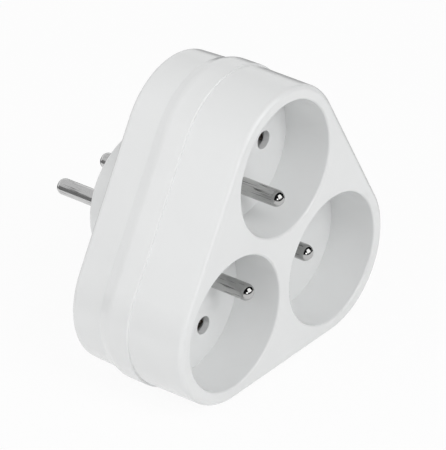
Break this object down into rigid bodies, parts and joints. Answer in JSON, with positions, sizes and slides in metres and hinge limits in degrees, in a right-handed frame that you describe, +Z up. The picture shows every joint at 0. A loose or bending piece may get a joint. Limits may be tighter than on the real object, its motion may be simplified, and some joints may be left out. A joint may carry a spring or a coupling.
{
  "type": "multi socket adapter",
  "caption": "Plug-in mains adapter: rounded triangular body with round recessed sockets, an earth pin in each, and a round plug boss with two pins behind.",
  "frame": {"origin": "centre of the plug's end face, midway between the two plug pins", "axes": "+Z up through the top socket, +Y along the plug pins into the wall, +X to the right seen from the sockets"},
  "size_m": [0.093, 0.0725, 0.087],
  "materials": {
    "white_abs": "moulded, glossy",
    "nickel_plate": "nickel plated, polished",
    "brass_strip": "stamped strip",
    "spring_bronze": "rolled strip",
    "vulcanised_fibre": "pressed sheet",
    "zinc_plated_steel": "zinc plated"
  },
  "bodies": {
    "root": {"front_shell": "white_abs", "socket_base": "white_abs", "rear_shell": "white_abs", "live_plug_pin": "nickel_plate", "neutral_plug_pin": "nickel_plate", "earth_pin_top": "nickel_plate", "earth_pin_left": "nickel_plate", "earth_pin_right": "nickel_plate", "live_busbar": "brass_strip", "neutral_busbar": "brass_strip", "earth_busbar": "brass_strip", "plug_earth_contact": "brass_strip", "contact_rivets": "brass_strip", "live_contact_top": "spring_bronze", "neutral_contact_top": "spring_bronze", "live_contact_left": "spring_bronze", "neutral_contact_left": "spring_bronze", "live_contact_right": "spring_bronze", "neutral_contact_right": "spring_bronze", "insulating_plate": "vulcanised_fibre", "housing_screws": "zinc_plated_steel"}
  },
  "joints": []
}
